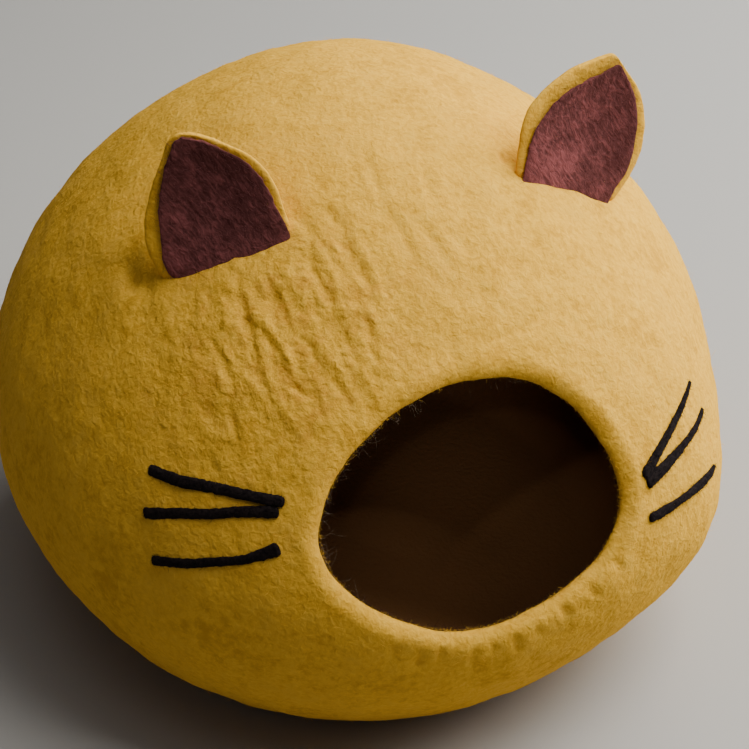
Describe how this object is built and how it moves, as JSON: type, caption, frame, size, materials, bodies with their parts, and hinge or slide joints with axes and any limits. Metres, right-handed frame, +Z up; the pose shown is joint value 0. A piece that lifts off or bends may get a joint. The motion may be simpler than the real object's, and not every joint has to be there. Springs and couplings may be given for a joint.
{
  "type": "felt cat cave",
  "caption": "Round wet-felted wool pod with a rolled-in front opening, cupped lined ears and whiskers, in which a cat sleeps.",
  "frame": {"origin": "middle of the flat underside", "axes": "+Z up; the mouth faces -Y; +X is to the right seen from the front"},
  "size_m": [0.4497, 0.4829, 0.3667],
  "materials": {
    "mustard_felt": "matt wet-felted wool, fuzzy and mottled",
    "burgundy_felt": "matt needle-felted wool with visible fibres",
    "black_wool": "matt felted wool strand"
  },
  "bodies": {
    "root": {"pod": "mustard_felt", "ear_left_back": "mustard_felt", "ear_left_lining": "burgundy_felt", "ear_right_back": "mustard_felt", "ear_right_lining": "burgundy_felt", "whisker_left_1": "black_wool", "whisker_left_2": "black_wool", "whisker_left_3": "black_wool", "whisker_right_1": "black_wool", "whisker_right_2": "black_wool", "whisker_right_3": "black_wool"}
  },
  "joints": []
}
